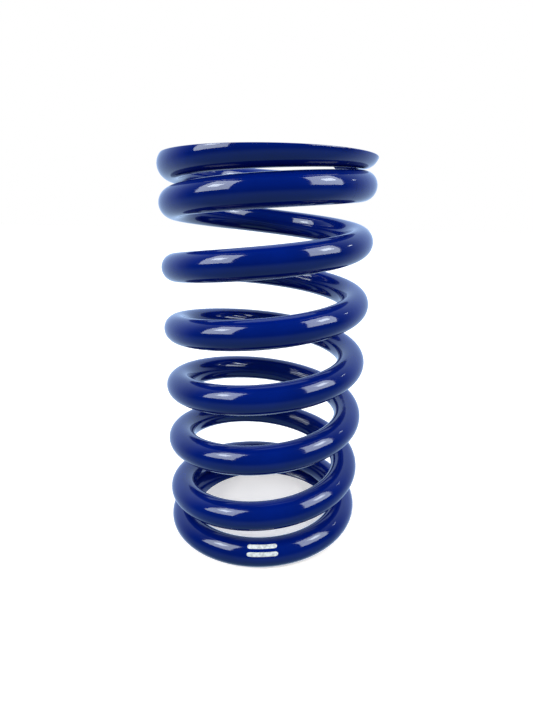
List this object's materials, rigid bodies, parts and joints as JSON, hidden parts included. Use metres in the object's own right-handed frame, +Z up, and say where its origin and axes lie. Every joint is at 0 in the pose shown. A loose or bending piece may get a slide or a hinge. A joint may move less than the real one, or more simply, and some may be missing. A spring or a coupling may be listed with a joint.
{
  "type": "coil spring",
  "caption": "Right-hand wound helical compression spring of round wire, closed and ground flat at both ends, in a glossy deep blue coat.",
  "frame": {"origin": "on the spring's axis, at the ground bottom face", "axes": "+Z up the spring's axis; -Y is the side that faces the viewer, and the wire climbs anticlockwise seen from above"},
  "size_m": [0.0864, 0.0864, 0.16],
  "materials": {
    "powder_coat": "glossy deep blue powder coat"
  },
  "bodies": {
    "bottom_end_coil": {"bottom_end_coil": "powder_coat"},
    "coil_1_left": {"coil_1_left": "powder_coat"},
    "coil_2_front": {"coil_2_front": "powder_coat"},
    "coil_2_right": {"coil_2_right": "powder_coat"},
    "coil_2_back": {"coil_2_back": "powder_coat"},
    "coil_2_left": {"coil_2_left": "powder_coat"},
    "coil_3_front": {"coil_3_front": "powder_coat"},
    "coil_3_right": {"coil_3_right": "powder_coat"},
    "coil_3_back": {"coil_3_back": "powder_coat"},
    "coil_3_left": {"coil_3_left": "powder_coat"},
    "coil_4_front": {"coil_4_front": "powder_coat"},
    "coil_4_right": {"coil_4_right": "powder_coat"},
    "coil_4_back": {"coil_4_back": "powder_coat"},
    "coil_4_left": {"coil_4_left": "powder_coat"},
    "coil_5_front": {"coil_5_front": "powder_coat"},
    "coil_5_right": {"coil_5_right": "powder_coat"},
    "coil_5_back": {"coil_5_back": "powder_coat"},
    "coil_5_left": {"coil_5_left": "powder_coat"},
    "coil_6_front": {"coil_6_front": "powder_coat"},
    "coil_6_right": {"coil_6_right": "powder_coat"},
    "coil_6_back": {"coil_6_back": "powder_coat"},
    "coil_6_left": {"coil_6_left": "powder_coat"},
    "coil_7_front": {"coil_7_front": "powder_coat"},
    "top_end_coil": {"top_end_coil": "powder_coat"}
  },
  "joints": [
    {"name": "compression", "type": "slide", "parent": "bottom_end_coil", "child": "top_end_coil", "axis": [0, 0, -1], "range_m": [0, 0.0611], "stiffness_N_per_m": 83000},
    {"name": "twist_coil_1_left", "type": "hinge", "parent": "bottom_end_coil", "child": "coil_1_left", "pos_m": [-0.02652, 0.02652, 0.01262], "axis": [0.9982, -0.0188, -0.0577], "range_deg": [0, 0.467], "stiffness_Nm_per_rad": 0.34, "springref_deg": -57.3},
    {"name": "twist_coil_2_front", "type": "hinge", "parent": "coil_1_left", "child": "coil_2_front", "pos_m": [-0.02652, -0.02652, 0.01884], "axis": [-0.1973, 0.9802, 0.0158], "range_deg": [0, 2.31], "stiffness_Nm_per_rad": 0.36, "springref_deg": -57.3},
    {"name": "twist_coil_2_right", "type": "hinge", "parent": "coil_2_front", "child": "coil_2_right", "pos_m": [0.02652, -0.02652, 0.02513], "axis": [-0.828, -0.5605, 0.0156], "range_deg": [0, 4.01], "stiffness_Nm_per_rad": 0.41, "springref_deg": -57.3},
    {"name": "twist_coil_2_back", "type": "hinge", "parent": "coil_2_right", "child": "coil_2_back", "pos_m": [0.02652, 0.02652, 0.03143], "axis": [0.7028, -0.7113, -0.0089], "range_deg": [0, 4.71], "stiffness_Nm_per_rad": 0.41, "springref_deg": -57.3},
    {"name": "twist_coil_2_left", "type": "hinge", "parent": "coil_2_back", "child": "coil_2_left", "pos_m": [-0.02652, 0.02652, 0.03773], "axis": [0.7069, 0.7069, -0.0255], "range_deg": [0, 4.73], "stiffness_Nm_per_rad": 0.38, "springref_deg": -57.3},
    {"name": "twist_coil_3_front", "type": "hinge", "parent": "coil_2_left", "child": "coil_3_front", "pos_m": [-0.02652, -0.02652, 0.04403], "axis": [-0.7069, 0.7069, -0.0255], "range_deg": [0, 4.73], "stiffness_Nm_per_rad": 0.34, "springref_deg": -57.3},
    {"name": "twist_coil_3_right", "type": "hinge", "parent": "coil_3_front", "child": "coil_3_right", "pos_m": [0.02652, -0.02652, 0.05033], "axis": [-0.7069, -0.7069, -0.0255], "range_deg": [0, 4.73], "stiffness_Nm_per_rad": 0.34, "springref_deg": -57.3},
    {"name": "twist_coil_3_back", "type": "hinge", "parent": "coil_3_right", "child": "coil_3_back", "pos_m": [0.02652, 0.02652, 0.05662], "axis": [0.7069, -0.7069, -0.0255], "range_deg": [0, 4.73], "stiffness_Nm_per_rad": 0.33, "springref_deg": -57.3},
    {"name": "twist_coil_3_left", "type": "hinge", "parent": "coil_3_back", "child": "coil_3_left", "pos_m": [-0.02652, 0.02652, 0.06292], "axis": [0.7069, 0.7069, -0.0255], "range_deg": [0, 4.73], "stiffness_Nm_per_rad": 0.29, "springref_deg": -57.3},
    {"name": "twist_coil_4_front", "type": "hinge", "parent": "coil_3_left", "child": "coil_4_front", "pos_m": [-0.02652, -0.02652, 0.06922], "axis": [-0.7069, 0.7069, -0.0255], "range_deg": [0, 4.73], "stiffness_Nm_per_rad": 0.26, "springref_deg": -57.3},
    {"name": "twist_coil_4_right", "type": "hinge", "parent": "coil_4_front", "child": "coil_4_right", "pos_m": [0.02652, -0.02652, 0.07551], "axis": [-0.7069, -0.7069, -0.0255], "range_deg": [0, 4.73], "stiffness_Nm_per_rad": 0.25, "springref_deg": -57.3},
    {"name": "twist_coil_4_back", "type": "hinge", "parent": "coil_4_right", "child": "coil_4_back", "pos_m": [0.02652, 0.02652, 0.08181], "axis": [0.7069, -0.7069, -0.0255], "range_deg": [0, 4.73], "stiffness_Nm_per_rad": 0.24, "springref_deg": -57.3},
    {"name": "twist_coil_4_left", "type": "hinge", "parent": "coil_4_back", "child": "coil_4_left", "pos_m": [-0.02652, 0.02652, 0.08811], "axis": [0.7069, 0.7069, -0.0255], "range_deg": [0, 4.73], "stiffness_Nm_per_rad": 0.21, "springref_deg": -57.3},
    {"name": "twist_coil_5_front", "type": "hinge", "parent": "coil_4_left", "child": "coil_5_front", "pos_m": [-0.02652, -0.02652, 0.09441], "axis": [-0.7069, 0.7069, -0.0255], "range_deg": [0, 4.73], "stiffness_Nm_per_rad": 0.18, "springref_deg": -57.3},
    {"name": "twist_coil_5_right", "type": "hinge", "parent": "coil_5_front", "child": "coil_5_right", "pos_m": [0.02652, -0.02652, 0.10071], "axis": [-0.7069, -0.7069, -0.0255], "range_deg": [0, 4.73], "stiffness_Nm_per_rad": 0.17, "springref_deg": -57.3},
    {"name": "twist_coil_5_back", "type": "hinge", "parent": "coil_5_right", "child": "coil_5_back", "pos_m": [0.02652, 0.02652, 0.107], "axis": [0.7069, -0.7069, -0.0255], "range_deg": [0, 4.73], "stiffness_Nm_per_rad": 0.16, "springref_deg": -57.3},
    {"name": "twist_coil_5_left", "type": "hinge", "parent": "coil_5_back", "child": "coil_5_left", "pos_m": [-0.02652, 0.02652, 0.1133], "axis": [0.7069, 0.7069, -0.0255], "range_deg": [0, 4.73], "stiffness_Nm_per_rad": 0.13, "springref_deg": -57.3},
    {"name": "twist_coil_6_front", "type": "hinge", "parent": "coil_5_left", "child": "coil_6_front", "pos_m": [-0.02652, -0.02652, 0.1196], "axis": [-0.7069, 0.7069, -0.0255], "range_deg": [0, 4.73], "stiffness_Nm_per_rad": 0.091, "springref_deg": -57.3},
    {"name": "twist_coil_6_right", "type": "hinge", "parent": "coil_6_front", "child": "coil_6_right", "pos_m": [0.02652, -0.02652, 0.1259], "axis": [-0.7069, -0.7069, -0.0255], "range_deg": [0, 4.73], "stiffness_Nm_per_rad": 0.084, "springref_deg": -57.3},
    {"name": "twist_coil_6_back", "type": "hinge", "parent": "coil_6_right", "child": "coil_6_back", "pos_m": [0.02652, 0.02652, 0.13219], "axis": [0.7129, -0.7012, -0.0096], "range_deg": [0, 4.7], "stiffness_Nm_per_rad": 0.076, "springref_deg": -57.3},
    {"name": "twist_coil_6_left", "type": "hinge", "parent": "coil_6_back", "child": "coil_6_left", "pos_m": [-0.02652, 0.02652, 0.13844], "axis": [0.6076, 0.7942, 0.009], "range_deg": [0, 4.16], "stiffness_Nm_per_rad": 0.038, "springref_deg": -57.3},
    {"name": "twist_coil_7_front", "type": "hinge", "parent": "coil_6_left", "child": "coil_7_front", "pos_m": [-0.02652, -0.02652, 0.144], "axis": [-0.9748, 0.2228, 0.0039], "range_deg": [0, 2.6], "stiffness_Nm_per_rad": 0.005, "springref_deg": -57.3}
  ],
  "couplings": [
    {"joint": "twist_coil_1_left", "follows": "compression", "rad_per_m": 0.1331},
    {"joint": "twist_coil_2_front", "follows": "compression", "rad_per_m": 0.65758},
    {"joint": "twist_coil_2_right", "follows": "compression", "rad_per_m": 1.1445},
    {"joint": "twist_coil_2_back", "follows": "compression", "rad_per_m": 1.3429},
    {"joint": "twist_coil_2_left", "follows": "compression", "rad_per_m": 1.3484},
    {"joint": "twist_coil_3_front", "follows": "compression", "rad_per_m": 1.3484},
    {"joint": "twist_coil_3_right", "follows": "compression", "rad_per_m": 1.3484},
    {"joint": "twist_coil_3_back", "follows": "compression", "rad_per_m": 1.3484},
    {"joint": "twist_coil_3_left", "follows": "compression", "rad_per_m": 1.3484},
    {"joint": "twist_coil_4_front", "follows": "compression", "rad_per_m": 1.3484},
    {"joint": "twist_coil_4_right", "follows": "compression", "rad_per_m": 1.3484},
    {"joint": "twist_coil_4_back", "follows": "compression", "rad_per_m": 1.3484},
    {"joint": "twist_coil_4_left", "follows": "compression", "rad_per_m": 1.3484},
    {"joint": "twist_coil_5_front", "follows": "compression", "rad_per_m": 1.3484},
    {"joint": "twist_coil_5_right", "follows": "compression", "rad_per_m": 1.3484},
    {"joint": "twist_coil_5_back", "follows": "compression", "rad_per_m": 1.3484},
    {"joint": "twist_coil_5_left", "follows": "compression", "rad_per_m": 1.3484},
    {"joint": "twist_coil_6_front", "follows": "compression", "rad_per_m": 1.3484},
    {"joint": "twist_coil_6_right", "follows": "compression", "rad_per_m": 1.3484},
    {"joint": "twist_coil_6_back", "follows": "compression", "rad_per_m": 1.3398},
    {"joint": "twist_coil_6_left", "follows": "compression", "rad_per_m": 1.1866},
    {"joint": "twist_coil_7_front", "follows": "compression", "rad_per_m": 0.7419}
  ]
}
